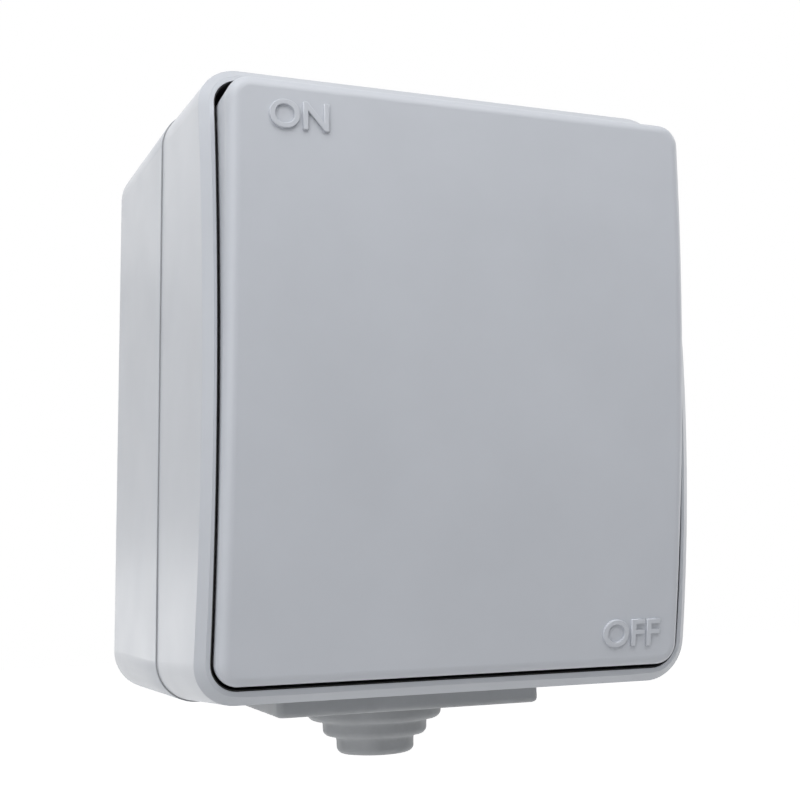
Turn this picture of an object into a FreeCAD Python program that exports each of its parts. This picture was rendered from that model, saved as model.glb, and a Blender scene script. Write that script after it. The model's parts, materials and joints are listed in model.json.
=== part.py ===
import FreeCAD, Part
import Sketcher
import math
import os
import re

# Outdoor weatherproof rocker switch for surface mounting.
# Millimetres. X to the right, -Y out of the wall, +Z up; the origin is the middle of the wall face.
# A depth is a distance out of the wall, so a depth d lies in the plane Y = -d.

SIZES = {
    # back box
    "box_width": 72.2,
    "box_height": 85.0,
    "box_corner": 6.0,
    "seam_depth": 32.8,
    "seam_width": 67.8,
    "seam_height": 81.2,
    "seam_corner": 5.5,
    "seam_step": 0.2,
    "wall": 2.6,
    "floor_thickness": 2.5,
    "groove_inset": 0.7,
    "groove_width": 1.2,
    "groove_depth": 1.2,
    "seal_gap": 0.1,
    "fixing_spacing": 60.0,
    "fixing_hole": 4.5,
    "fixing_collar": 9.0,
    "fixing_collar_height": 1.5,
    # front cover
    "front_depth": 54.0,
    "front_width": 64.9,
    "front_height": 76.8,
    "front_corner": 5.0,
    "front_crown": 4.1,
    "bevel": 1.1,
    "rim": 0.65,
    "opening_corner": 3.4,
    "deck_depth": 44.5,
    "deck_thickness": 2.5,
    "window_width": 16.0,
    "window_height": 18.0,
    "window_corner": 2.0,
    # cover screws
    "cover_screw_x": 52.0,
    "cover_screw_z": 65.0,
    "pillar": 7.5,
    "screw_shank": 3.0,
    "screw_head": 5.6,
    "screw_head_height": 2.0,
    "screw_slot": 0.8,
    "screw_slot_depth": 0.9,
    "thread_gap": 0.05,
    "clearance_gap": 0.2,
    "head_gap": 0.4,
    "cover_screw_grip": 10.0,
    "pilot_spare": 2.0,
    # diaphragm
    "skin": 1.2,
    "skin_gap": 0.15,
    "lip": 0.7,
    "lip_height": 1.4,
    "boot_foot": 19.0,
    "boot_wall": 1.0,
    "boot_height": 4.8,
    "boot_neck": 1.2,
    "boot_gap": 0.35,
    # rocker
    "pivot_height": 5.5,
    "pivot_depth": "=deck_depth + pivot_height",
    "rocker_tilt": 4.5,
    "rocker_side_gap": 0.45,
    "rocker_end_gap": 1.15,
    "rocker_corner": 2.8,
    "rocker_end_height": 9.75,
    "rocker_end_depth": "=pivot_depth + rocker_end_height",
    "rocker_crown": 1.8,
    "rocker_skirt_height": 0.5,
    "rocker_skirt_depth": "=pivot_depth + rocker_skirt_height",
    "rocker_wall": 2.0,
    "rocker_edge": 1.5,
    "rocker_rib": 1.8,
    "rocker_rib_spacing": 30.0,
    "rocker_rib_length": 18.0,
    # bearing and carrier
    "trunnion": 4.0,
    "trunnion_gap": 0.05,
    "bearing_spacing": 38.0,
    "bearing_thickness": 3.0,
    "bearing_width": 8.0,
    "lug_gap": 0.4,
    "lug_thickness": 3.0,
    "yoke_height": 5.0,
    "yoke_thickness": 2.5,
    "yoke_width": 22.0,
    "yoke_corner": 2.0,
    "leg": 9.0,
    "leg_gap": 3.5,
    "leg_length": "=pivot_depth - chamber_top_depth - lid_thickness - leg_gap",
    "plunger": 4.7,
    "plunger_gap": 0.05,
    "plunger_top": 6.0,
    "plunger_rise": 0.15,
    "spring_seat": 3.0,
    "spring_wire": 0.5,
    "spring_gap": 0.2,
    "spring_turns": 5.0,
    # switch base
    "base_depth": 8.0,
    "base_thickness": 5.0,
    "base_width": 60.0,
    "base_height": 34.0,
    "base_corner": 3.0,
    "base_screw_spacing": 51.0,
    "base_post": 8.0,
    "base_screw_grip": 4.5,
    "chamber_width": 18.0,
    "chamber_height": 32.0,
    "chamber_corner": 2.0,
    "chamber_wall": 1.6,
    "chamber_top_depth": 29.0,
    "lid_thickness": 1.5,
    "lid_slot_width": 7.0,
    "lid_slot_height": 12.0,
    # contacts and terminals
    "strip": 1.0,
    "strip_width": 6.0,
    "strip_reach": 20.0,
    "strip_gap": 0.2,
    "bar_pivot": 4.0,
    "bar_width": 5.0,
    "bar_length": 24.0,
    "bar_thickness": 1.0,
    "bar_pin": 1.6,
    "bar_pin_gap": 0.05,
    "bar_swing": 9.0,
    "ear_gap": 0.5,
    "ear_thickness": 1.0,
    "ear_width": 4.0,
    "tip": 3.0,
    "tip_height": 0.8,
    "tip_spacing": 19.0,
    "block": 8.0,
    "block_wire_hole": 3.4,
    "block_wire_height": 3.5,
    "block_screw_depth": 3.5,
    # cable grommet
    "entry_offset": 2.3,
    "plate_width": 39.4,
    "plate_back": 1.0,
    "plate_front": 32.4,
    "plate_thickness": 3.0,
    "plate_corner": 1.0,
    "plate_edge": 0.4,
    "plate_margin": 2.6,
    "grommet_gap": 0.25,
    "inner_flange": 1.5,
    "flange_reach": 0.6,
    "cone_setback": 2.7,
    "cone_first": 20.8,
    "cone_second": 16.2,
    "cone_third": 12.0,
    "cone_first_height": 2.5,
    "cone_second_height": 2.4,
    "cone_third_height": 2.65,
    "cone_wall": 1.7,
    "cone_edge": 0.6,
}

doc = FreeCAD.newDocument("weatherproof_switch")
sheet = doc.addObject("Spreadsheet::Sheet", "Sizes")
for row, alias in enumerate(SIZES, start=1):
    sheet.set("A%d" % row, alias)
    sheet.setAlias("B%d" % row, alias)
for row, content in enumerate(SIZES.values(), start=1):
    sheet.set("B%d" % row, str(content))
doc.recompute()

NODES = []
TOUCH = 1e-3
WORD = re.compile(r"\b[a-z]+(?:_[a-z]+)*\b")


# Expressions over the sheet

def bound(text):
    """The same expression with every size name tied to its cell."""
    return WORD.sub(lambda m: "Sizes." + m.group() if m.group() in SIZES else m.group(), text)


def size(text):
    """The number that an expression gives with the sheet as it stands."""
    result = sheet.evalExpression(bound(text))
    return float(getattr(result, "Value", result))


def bind(thing, path, text):
    """Tie one property of an object to an expression over the sheet."""
    thing.setExpression(path, bound(text))


# Sketches

def new_body(label):
    """Empty body that becomes one node."""
    body = doc.addObject("PartDesign::Body", label)
    body.Label = label
    NODES.append(body)
    return body


def new_sketch(body, name, role, offset="0"):
    """Sketch on one of the body's own planes, moved along the plane's normal."""
    sketch = body.newObject("Sketcher::SketchObject", name)
    support = next(f for f in body.Origin.OriginFeatures if f.Role == role)
    sketch.AttachmentSupport = [(support, "")]
    sketch.MapMode = "FlatFace"
    bind(sketch, "AttachmentOffset.Base.z", offset)
    return sketch


def constrain(sketch, *terms, text=None):
    """Add a constraint; with an expression, its value follows the sheet."""
    if text is None:
        return sketch.addConstraint(Sketcher.Constraint(*terms))
    index = sketch.addConstraint(Sketcher.Constraint(*terms, size(text)))
    bind(sketch, "Constraints[%d]" % index, text)
    return index


def place_point(sketch, geometry, point, x, y):
    """Fix a point of the sketch by its two coordinates."""
    for kind, axis, text in (("DistanceX", -2, x), ("DistanceY", -1, y)):
        if text == "0":
            constrain(sketch, "PointOnObject", geometry, point, axis)
        else:
            constrain(sketch, kind, -1, 1, geometry, point, text=text)


def circle(sketch, diameter, x="0", y="0"):
    """Circle at a place given by two expressions."""
    middle = FreeCAD.Vector(size(x), size(y), 0)
    ring = Part.Circle(middle, FreeCAD.Vector(0, 0, 1), size(diameter) / 2)
    geometry = sketch.addGeometry(ring)
    constrain(sketch, "Diameter", geometry, text=diameter)
    place_point(sketch, geometry, 3, x, y)


def polygon(sketch, corners):
    """Closed outline with straight sides, each corner given by two expressions."""
    spots = [FreeCAD.Vector(size(x), size(y), 0) for x, y in corners]
    count = len(spots)
    sides = [sketch.addGeometry(Part.LineSegment(spots[i], spots[(i + 1) % count])) for i in range(count)]
    for i, (x, y) in enumerate(corners):
        constrain(sketch, "Coincident", sides[i - 1], 2, sides[i], 1)
        place_point(sketch, sides[i], 1, x, y)


def rectangle(sketch, left, right, low, high):
    """Upright rectangle between four expressions."""
    polygon(sketch, [(left, low), (right, low), (right, high), (left, high)])


def rounded_rectangle(sketch, width, height, radius):
    """Rectangle with round corners, in the middle of the sketch."""
    r = size(radius)
    x = size(width) / 2 - r
    y = size(height) / 2 - r
    normal = FreeCAD.Vector(0, 0, 1)
    centres = [(x, y), (-x, y), (-x, -y), (x, -y)]
    arcs = []
    for turn, (cx, cy) in enumerate(centres):
        ring = Part.Circle(FreeCAD.Vector(cx, cy, 0), normal, r)
        start = turn * math.pi / 2
        arcs.append(sketch.addGeometry(Part.ArcOfCircle(ring, start, start + math.pi / 2)))
    lines = []
    for turn in range(4):
        begin = sketch.getPoint(arcs[turn], 2)
        end = sketch.getPoint(arcs[(turn + 1) % 4], 1)
        lines.append(sketch.addGeometry(Part.LineSegment(begin, end)))
    for turn in range(4):
        constrain(sketch, "Tangent", arcs[turn], 2, lines[turn], 1)
        constrain(sketch, "Tangent", lines[turn], 2, arcs[(turn + 1) % 4], 1)
        constrain(sketch, "Vertical" if turn % 2 else "Horizontal", lines[turn])
    for arc in arcs[1:]:
        constrain(sketch, "Equal", arcs[0], arc)
    constrain(sketch, "Symmetric", arcs[0], 3, arcs[2], 3, -1, 1)
    constrain(sketch, "Radius", arcs[0], text=radius)
    constrain(sketch, "DistanceX", lines[1], 1, lines[3], 1, text=width)
    constrain(sketch, "DistanceY", lines[2], 1, lines[0], 1, text=height)


def arched_outline(sketch, apex, radius, back, half):
    """Outline between an arc that bulges to -Y (sketch x) and a straight side, for a crowned face."""
    r = size(radius)
    centre = size(apex) + r
    z = size(half)
    sweep = math.asin(z / r)
    ring = Part.Circle(FreeCAD.Vector(centre, 0, 0), FreeCAD.Vector(0, 0, 1), r)
    arc = sketch.addGeometry(Part.ArcOfCircle(ring, math.pi - sweep, math.pi + sweep))
    top = sketch.getPoint(arc, 1)
    low = sketch.getPoint(arc, 2)
    far_low = FreeCAD.Vector(size(back), low.y, 0)
    far_top = FreeCAD.Vector(size(back), top.y, 0)
    lower = sketch.addGeometry(Part.LineSegment(low, far_low))
    straight = sketch.addGeometry(Part.LineSegment(far_low, far_top))
    upper = sketch.addGeometry(Part.LineSegment(far_top, top))
    constrain(sketch, "Coincident", arc, 2, lower, 1)
    constrain(sketch, "Coincident", lower, 2, straight, 1)
    constrain(sketch, "Coincident", straight, 2, upper, 1)
    constrain(sketch, "Coincident", upper, 2, arc, 1)
    constrain(sketch, "Horizontal", lower)
    constrain(sketch, "Horizontal", upper)
    constrain(sketch, "Symmetric", straight, 1, straight, 2, -1)
    constrain(sketch, "PointOnObject", arc, 3, -1)
    constrain(sketch, "Radius", arc, text=radius)
    constrain(sketch, "DistanceX", -1, 1, arc, 3, text="%s + (%s)" % (apex, radius))
    constrain(sketch, "DistanceX", -1, 1, straight, 1, text=back)
    constrain(sketch, "DistanceY", straight, 1, straight, 2, text="2 * (%s)" % half)


def lug_outline(sketch, foot, axis, width):
    """Lug seen along X: straight sides from a foot, and a round end about a pivot axis."""
    r = size(width) / 2
    y = size(axis)
    away = 1 if y > size(foot) else -1
    ring = Part.Circle(FreeCAD.Vector(y, 0, 0), FreeCAD.Vector(0, 0, 1), r)
    start = -math.pi / 2 if away > 0 else math.pi / 2
    arc = sketch.addGeometry(Part.ArcOfCircle(ring, start, start + math.pi))
    first = sketch.getPoint(arc, 1)
    last = sketch.getPoint(arc, 2)
    foot_last = FreeCAD.Vector(size(foot), last.y, 0)
    foot_first = FreeCAD.Vector(size(foot), first.y, 0)
    side_last = sketch.addGeometry(Part.LineSegment(last, foot_last))
    base = sketch.addGeometry(Part.LineSegment(foot_last, foot_first))
    side_first = sketch.addGeometry(Part.LineSegment(foot_first, first))
    constrain(sketch, "Tangent", arc, 2, side_last, 1)
    constrain(sketch, "Coincident", side_last, 2, base, 1)
    constrain(sketch, "Coincident", base, 2, side_first, 1)
    constrain(sketch, "Tangent", side_first, 2, arc, 1)
    constrain(sketch, "Vertical", base)
    constrain(sketch, "Horizontal", side_last)
    constrain(sketch, "PointOnObject", arc, 3, -1)
    constrain(sketch, "DistanceX", -1, 1, arc, 3, text=axis)
    constrain(sketch, "DistanceX", -1, 1, base, 1, text=foot)
    constrain(sketch, "Radius", arc, text="(%s) / 2" % width)


# Features

def feature(body, kind, name, sketch, length, flip=False, both=False):
    """Pad or pocket of a sketch, by a length that follows the sheet."""
    before = body.Shape.Volume if body.Tip else 0
    made = body.newObject("PartDesign::" + kind, name)
    made.Profile = sketch
    made.Reversed = flip
    if both:
        made.Midplane = True
    bind(made, "Length", length)
    doc.recompute()
    change = body.Shape.Volume - before
    if (change > 0) != (kind == "Pad") or abs(change) < 1e-6:
        raise RuntimeError("%s of %s does not change the solid" % (name, body.Label))
    return made


def pad(body, name, sketch, length, flip=False, both=False):
    return feature(body, "Pad", name, sketch, length, flip, both)


def pocket(body, name, sketch, length, flip=False, both=False):
    return feature(body, "Pocket", name, sketch, length, flip, both)


def loft(body, kind, name, first, last):
    """Straight-sided loft between two outlines."""
    made = body.newObject("PartDesign::" + kind, name)
    made.Profile = first
    made.Sections = [last]
    made.Ruled = True
    doc.recompute()
    return made


def revolve(body, kind, name, sketch):
    """Full turn of a sketch about its own vertical axis."""
    made = body.newObject("PartDesign::" + kind, name)
    made.Profile = sketch
    made.ReferenceAxis = (sketch, ["V_Axis"])
    made.Angle = 360
    doc.recompute()
    return made


def round_face(chosen):
    """Test for the edges round the face that another test picks."""
    def found(shape, edge):
        return any(edge.isSame(other) for face in shape.Faces if chosen(face) for other in face.Edges)
    return found


def dress(body, kind, name, chosen, path, text):
    """Fillet or chamfer on the edges that a test picks."""
    base = body.Tip
    made = body.newObject("PartDesign::" + kind, name)
    names = ["Edge%d" % n for n, edge in enumerate(base.Shape.Edges, start=1) if chosen(base.Shape, edge)]
    made.Base = (base, names)
    bind(made, path, text)
    doc.recompute()
    return made


def crowned(radius):
    """Test for the cylinder face of a crowned front."""
    wanted = size(radius)
    return lambda f: isinstance(f.Surface, Part.Cylinder) and abs(f.Surface.Radius - wanted) < TOUCH


def level(height):
    """Test for the face that lies at one height."""
    wanted = size(height)
    return lambda f: abs(f.CenterOfMass.z - wanted) < TOUCH


def drafted_block(body, back, front):
    """Block with drafted sides; each end outline is a depth, width, height and corner radius."""
    outlines = []
    for place, (depth, width, height, corner) in (("back", back), ("front", front)):
        outline = new_sketch(body, place + "_outline", "XZ_Plane", depth)
        rounded_rectangle(outline, width, height, corner)
        outlines.append(outline)
    loft(body, "AdditiveLoft", "blank", *outlines)


def corners(spacing_x, spacing_z):
    """Four places of a rectangular pattern, as pairs of expressions."""
    signs = ("", "-")
    return [("%s%s / 2" % (sx, spacing_x), "%s%s / 2" % (sz, spacing_z)) for sx in signs for sz in signs]


def pair(spacing):
    """Two places either side of the middle, as expressions."""
    return ["%s / 2" % spacing, "-%s / 2" % spacing]


# Sizes that several pieces share, as expressions

COVER_CORNERS = corners("cover_screw_x", "cover_screw_z")
BASE_SCREWS = [(x, "0") for x in pair("base_screw_spacing")]
PILOT = "screw_shank + 2 * thread_gap"
CLEARANCE_HOLE = "screw_shank + 2 * clearance_gap"
HEAD_SEAT = "screw_head + 2 * head_gap"
HEAD_SINK = "(screw_head_height + clearance_gap)"
COVER_WIDTH = "(seam_width - 2 * seam_step)"
COVER_HEIGHT = "(seam_height - 2 * seam_step)"
OPENING_WIDTH = "(front_width - 2 * (bevel + rim))"
OPENING_HEIGHT = "(front_height - 2 * (bevel + rim))"
DECK_BACK = "(deck_depth - deck_thickness)"
RIM_HALF = "(front_height / 2 - bevel)"
FRONT_RADIUS = "((%s ^ 2 + front_crown ^ 2) / (2 * front_crown))" % RIM_HALF
FRONT_APEX = "(front_depth + bevel + front_crown)"
FRONT_BLANK = "(front_depth + bevel + 2 * front_crown)"
ROCKER_WIDTH = "(%s - 2 * rocker_side_gap)" % OPENING_WIDTH
ROCKER_HEIGHT = "(%s - 2 * rocker_end_gap)" % OPENING_HEIGHT
ROCKER_RADIUS = "((%s ^ 2 / 4 + rocker_crown ^ 2) / (2 * rocker_crown))" % ROCKER_HEIGHT
ROCKER_APEX = "(rocker_end_depth + rocker_crown - pivot_depth)"
ROCKER_SKIRT = "(rocker_skirt_depth - pivot_depth)"
YOKE_TOP = "(yoke_height + yoke_thickness)"
LUG_INNER = "(bearing_spacing / 2 + bearing_thickness + lug_gap)"
LUG_OUTER = "(%s + lug_thickness)" % LUG_INNER
STRIP_DEPTH = "(base_depth + base_thickness)"
STRIP_TOP = "(%s + strip)" % STRIP_DEPTH
BAR_DEPTH = "(%s + bar_pivot)" % STRIP_TOP
BAR_TOP = "(%s + bar_thickness / 2)" % BAR_DEPTH
PLUNGER_TIP = "(pivot_depth - %s - plunger_rise)" % BAR_TOP
EAR_INNER = "(bar_width / 2 + ear_gap)"
EAR_OUTER = "(%s + ear_thickness)" % EAR_INNER
BLOCK_TOP = "(%s + block)" % STRIP_TOP
PLATE_LENGTH = "(plate_front - plate_back)"
PLATE_MIDDLE = "((plate_front + plate_back) / 2)"
ENTRY_WIDTH = "(plate_width - 2 * plate_margin)"
ENTRY_LENGTH = "(%s - 2 * plate_margin)" % PLATE_LENGTH
BOX_DRAFT = "((box_height - seam_height) / 2 / seam_depth)"


def box_inside(outline, seam, depth):
    """Inside measure of the drafted back box at a depth."""
    return "%s - (%s - %s) * (%s) / seam_depth - 2 * wall" % (outline, outline, seam, depth)


def cover_outside(seam, front):
    """Outside measure of the drafted cover where its blank ends."""
    rise = "(%s - seam_depth) / (front_depth - seam_depth)" % FRONT_BLANK
    return "%s - (%s - %s) * %s" % (seam, seam, front, rise)


# Back box: drafted tray with seal groove, screw pillars, fixing holes and the cable entry

def make_back_box():
    body = new_body("back_box")
    drafted_block(body, ("0", "box_width", "box_height", "box_corner"),
                  ("seam_depth", "seam_width", "seam_height", "seam_corner"))

    floor = new_sketch(body, "floor_inside", "XZ_Plane", "floor_thickness")
    rounded_rectangle(floor, box_inside("box_width", "seam_width", "floor_thickness"),
                      box_inside("box_height", "seam_height", "floor_thickness"), "box_corner - wall")
    mouth = new_sketch(body, "seam_inside", "XZ_Plane", "seam_depth")
    rounded_rectangle(mouth, "seam_width - 2 * wall", "seam_height - 2 * wall", "seam_corner - wall")
    loft(body, "SubtractiveLoft", "hollow", floor, mouth)

    pillars = new_sketch(body, "pillar_outline", "XZ_Plane", "floor_thickness / 2")
    for x, z in COVER_CORNERS:
        circle(pillars, "pillar", x, z)
    pad(body, "pillars", pillars, "seam_depth - floor_thickness / 2")
    pilots = new_sketch(body, "pilot_outline", "XZ_Plane", "seam_depth")
    for x, z in COVER_CORNERS:
        circle(pilots, PILOT, x, z)
    pocket(body, "pilots", pilots, "cover_screw_grip + pilot_spare")

    groove = new_sketch(body, "seal_groove_outline", "XZ_Plane", "seam_depth")
    seal_ring(groove, "groove_inset", "groove_width")
    pocket(body, "seal_groove", groove, "groove_depth")

    posts = new_sketch(body, "post_outline", "XZ_Plane", "floor_thickness / 2")
    for x, z in BASE_SCREWS:
        circle(posts, "base_post", x, z)
    pad(body, "base_posts", posts, "base_depth - floor_thickness / 2")
    post_pilots = new_sketch(body, "post_pilot_outline", "XZ_Plane", "base_depth")
    for x, z in BASE_SCREWS:
        circle(post_pilots, PILOT, x, z)
    pocket(body, "post_pilots", post_pilots, "base_screw_grip + pilot_spare / 2")

    collars = new_sketch(body, "collar_outline", "XZ_Plane", "floor_thickness / 2")
    for z in pair("fixing_spacing"):
        circle(collars, "fixing_collar", "0", z)
    pad(body, "fixing_collars", collars, "floor_thickness / 2 + fixing_collar_height")
    holes = new_sketch(body, "fixing_outline", "XZ_Plane", "floor_thickness + fixing_collar_height")
    for z in pair("fixing_spacing"):
        circle(holes, "fixing_hole", "0", z)
    pocket(body, "fixing_holes", holes, "floor_thickness + fixing_collar_height")

    entry = new_sketch(body, "entry_outline", "XY_Plane", "-(seam_height / 2 - wall - 1.5)")
    rectangle(entry, "entry_offset - %s / 2" % ENTRY_WIDTH, "entry_offset + %s / 2" % ENTRY_WIDTH,
              "-(%s + %s / 2)" % (PLATE_MIDDLE, ENTRY_LENGTH),
              "-(%s - %s / 2)" % (PLATE_MIDDLE, ENTRY_LENGTH))
    pocket(body, "cable_entry", entry, "box_height / 2")


def seal_ring(sketch, inset, width):
    """Two outlines that follow the seam, a width apart."""
    for step in (inset, "%s + %s" % (inset, width)):
        rounded_rectangle(sketch, "seam_width - 2 * (%s)" % step, "seam_height - 2 * (%s)" % step,
                          "seam_corner - (%s)" % step)


# Cover seal: rubber ring that fills the groove in the seam

def make_cover_seal():
    body = new_body("cover_seal")
    ring = new_sketch(body, "seal_outline", "XZ_Plane", "seam_depth - groove_depth")
    seal_ring(ring, "groove_inset + seal_gap", "groove_width - 2 * seal_gap")
    pad(body, "seal", ring, "groove_depth")


# Front cover: drafted frame with an arched, bevelled front, a recess for the rocker and its bearings

def make_front_cover():
    body = new_body("front_cover")
    drafted_block(body, ("seam_depth", COVER_WIDTH, COVER_HEIGHT, "seam_corner - seam_step"),
                  (FRONT_BLANK, cover_outside(COVER_WIDTH, "front_width"),
                   cover_outside(COVER_HEIGHT, "front_height"), "front_corner"))

    arch = new_sketch(body, "arch_outline", "YZ_Plane")
    arched_outline(arch, "-" + FRONT_APEX, FRONT_RADIUS, "-2 * " + FRONT_BLANK, "box_height / 2")
    pocket(body, "arched_front", arch, "2 * box_width", both=True)
    dress(body, "Chamfer", "front_bevel", round_face(crowned(FRONT_RADIUS)), "Size", "bevel")

    recess = new_sketch(body, "recess_outline", "XZ_Plane", FRONT_BLANK)
    rounded_rectangle(recess, OPENING_WIDTH, OPENING_HEIGHT, "opening_corner")
    pocket(body, "rocker_recess", recess, "%s - deck_depth" % FRONT_BLANK)
    back = new_sketch(body, "back_outline", "XZ_Plane", "seam_depth")
    rounded_rectangle(back, "seam_width - 2 * wall", "seam_height - 2 * wall", "seam_corner - wall")
    pocket(body, "back_hollow", back, "%s - seam_depth" % DECK_BACK, flip=True)

    columns = new_sketch(body, "column_outline", "XZ_Plane", "seam_depth")
    for x, z in COVER_CORNERS:
        circle(columns, "pillar", x, z)
    pad(body, "screw_columns", columns, "deck_depth - seam_depth - deck_thickness / 2")
    seats = new_sketch(body, "seat_outline", "XZ_Plane", "deck_depth")
    for x, z in COVER_CORNERS:
        circle(seats, HEAD_SEAT, x, z)
    pocket(body, "head_seats", seats, HEAD_SINK)
    holes = new_sketch(body, "screw_hole_outline", "XZ_Plane", "deck_depth")
    for x, z in COVER_CORNERS:
        circle(holes, CLEARANCE_HOLE, x, z)
    pocket(body, "screw_holes", holes, "deck_depth - seam_depth")

    window = new_sketch(body, "window_outline", "XZ_Plane", "deck_depth")
    rounded_rectangle(window, "window_width", "window_height", "window_corner")
    pocket(body, "drive_window", window, "deck_thickness")

    for side, start in (("left", "-bearing_spacing / 2 - bearing_thickness"),
                        ("right", "bearing_spacing / 2")):
        lug = new_sketch(body, side + "_bearing_outline", "YZ_Plane", start)
        lug_outline(lug, "-(deck_depth - deck_thickness / 2)", "-pivot_depth", "bearing_width")
        pad(body, side + "_bearing", lug, "bearing_thickness")
    bore = new_sketch(body, "bearing_bore_outline", "YZ_Plane")
    circle(bore, "trunnion + 2 * trunnion_gap", "-pivot_depth")
    pocket(body, "bearing_bores", bore, "bearing_spacing + 2 * bearing_thickness + lug_gap", both=True)


# Diaphragm: black rubber skin on the deck, with an upturned lip and a boot round the drive leg

def make_rocker_membrane():
    body = new_body("rocker_membrane")
    skin = new_sketch(body, "skin_outline", "XZ_Plane", "deck_depth")
    rounded_rectangle(skin, OPENING_WIDTH + " - 2 * skin_gap", OPENING_HEIGHT + " - 2 * skin_gap",
                      "opening_corner - skin_gap")
    pad(body, "skin", skin, "skin")
    lip = new_sketch(body, "lip_outline", "XZ_Plane", "deck_depth")
    for step in ("skin_gap", "(skin_gap + lip)"):
        rounded_rectangle(lip, "%s - 2 * %s" % (OPENING_WIDTH, step),
                          "%s - 2 * %s" % (OPENING_HEIGHT, step), "opening_corner - " + step)
    pad(body, "lip", lip, "skin + lip_height")

    mouth = new_sketch(body, "boot_mouth_outline", "XZ_Plane", "deck_depth + skin")
    circle(mouth, "boot_foot - 2 * boot_wall")
    pocket(body, "boot_mouth", mouth, "skin")
    access = new_sketch(body, "screw_access_outline", "XZ_Plane", "deck_depth + skin")
    for x, z in COVER_CORNERS:
        circle(access, HEAD_SEAT, x, z)
    pocket(body, "screw_access", access, "skin")
    slots = new_sketch(body, "bearing_slot_outline", "XZ_Plane", "deck_depth + skin")
    for sign in ("", "-"):
        near = "%s(bearing_spacing / 2 - skin_gap)" % sign
        far = "%s(bearing_spacing / 2 + bearing_thickness + skin_gap)" % sign
        rectangle(slots, near, far, "-(bearing_width / 2 + skin_gap)", "bearing_width / 2 + skin_gap")
    pocket(body, "bearing_slots", slots, "skin")

    boot = new_sketch(body, "boot_profile", "XY_Plane")
    foot = "boot_foot / 2"
    neck = "leg / 2 + boot_gap"
    start = "-(deck_depth + skin / 2)"
    shoulder = "-(deck_depth + skin + boot_height - boot_neck)"
    end = "-(deck_depth + skin + boot_height)"
    polygon(boot, [(foot + " - boot_wall", start), (foot, start), (neck + " + boot_wall", shoulder),
                   (neck + " + boot_wall", end), (neck, end), (neck, shoulder)])
    revolve(body, "Revolution", "drive_boot", boot)


# Rocker: crowned cap with rounded edges, hollow behind, ribs that seat on the carrier.
# Its own origin lies on the pivot axis.

def make_rocker():
    body = new_body("rocker")
    skirt = new_sketch(body, "skirt_outline", "XZ_Plane", ROCKER_SKIRT)
    rounded_rectangle(skirt, ROCKER_WIDTH, ROCKER_HEIGHT, "rocker_corner")
    pad(body, "cap_blank", skirt, "%s + rocker_crown - %s" % (ROCKER_APEX, ROCKER_SKIRT))
    crown = new_sketch(body, "crown_outline", "YZ_Plane")
    arched_outline(crown, "-" + ROCKER_APEX, ROCKER_RADIUS, "-3 * " + ROCKER_APEX, "box_height / 2")
    pocket(body, "crown", crown, "2 * box_width", both=True)
    dress(body, "Fillet", "cap_edge", round_face(crowned(ROCKER_RADIUS)), "Radius", "rocker_edge")

    inside = new_sketch(body, "inside_outline", "YZ_Plane")
    arched_outline(inside, "-(%s - rocker_wall)" % ROCKER_APEX, "(%s - rocker_wall)" % ROCKER_RADIUS,
                   "-%s / 2" % ROCKER_SKIRT, "(%s / 2 - rocker_wall)" % ROCKER_HEIGHT)
    pocket(body, "inside", inside, ROCKER_WIDTH + " - 2 * rocker_wall", both=True)
    ribs = new_sketch(body, "rib_outline", "XZ_Plane", YOKE_TOP)
    for x in pair("rocker_rib_spacing"):
        rectangle(ribs, x + " - rocker_rib / 2", x + " + rocker_rib / 2",
                  "-rocker_rib_length / 2", "rocker_rib_length / 2")
    pad(body, "ribs", ribs, "%s - rocker_wall / 2 - %s" % (ROCKER_APEX, YOKE_TOP))
    hang_on_pivot(body)


def hang_on_pivot(thing, angle="rocker_tilt"):
    """Place a piece that is drawn about the pivot axis, with the rocker's top out."""
    thing.Placement.Rotation.Axis = FreeCAD.Vector(1, 0, 0)
    bind(thing, "Placement.Base.y", "-pivot_depth")
    bind(thing, "Placement.Rotation.Angle", "(%s) * 1 deg" % angle)


# Carrier: yoke with two trunnion lugs and the hollow drive leg

def make_rocker_carrier():
    body = new_body("rocker_carrier")
    yoke = new_sketch(body, "yoke_outline", "XZ_Plane", "yoke_height")
    rounded_rectangle(yoke, "2 * " + LUG_OUTER, "yoke_width", "yoke_corner")
    pad(body, "yoke", yoke, "yoke_thickness")
    for side, start in (("left", "-" + LUG_OUTER), ("right", LUG_INNER)):
        lug = new_sketch(body, side + "_lug_outline", "YZ_Plane", start)
        lug_outline(lug, "-(yoke_height + yoke_thickness / 2)", "0 * trunnion", "bearing_width")
        pad(body, side + "_lug", lug, "lug_thickness")
    for side, start, flip in (("left", "-" + LUG_INNER, False), ("right", LUG_INNER, True)):
        pin = new_sketch(body, side + "_trunnion_outline", "YZ_Plane", start)
        circle(pin, "trunnion")
        pad(body, side + "_trunnion", pin, "bearing_thickness + lug_gap", flip=flip)
    leg = new_sketch(body, "leg_outline", "XZ_Plane", "-leg_length")
    circle(leg, "leg")
    pad(body, "leg", leg, "leg_length + yoke_height + yoke_thickness / 2")
    bore = new_sketch(body, "leg_bore_outline", "XZ_Plane", "-leg_length")
    circle(bore, "plunger + 2 * plunger_gap")
    pocket(body, "leg_bore", bore, "leg_length + spring_seat", flip=True)
    hang_on_pivot(body)


# Plunger with a round nose, and the spring behind it

def make_plunger():
    body = new_body("plunger")
    shaft = new_sketch(body, "plunger_outline", "XZ_Plane", "-(%s - plunger / 2)" % PLUNGER_TIP)
    circle(shaft, "plunger")
    pad(body, "shaft", shaft, "%s - plunger / 2 - plunger_top" % PLUNGER_TIP)
    nose = new_sketch(body, "nose_profile", "XY_Plane")
    nose_outline(nose, "%s - plunger / 2" % PLUNGER_TIP, "plunger / 2")
    revolve(body, "Revolution", "nose", nose)
    hang_on_pivot(body)


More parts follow.
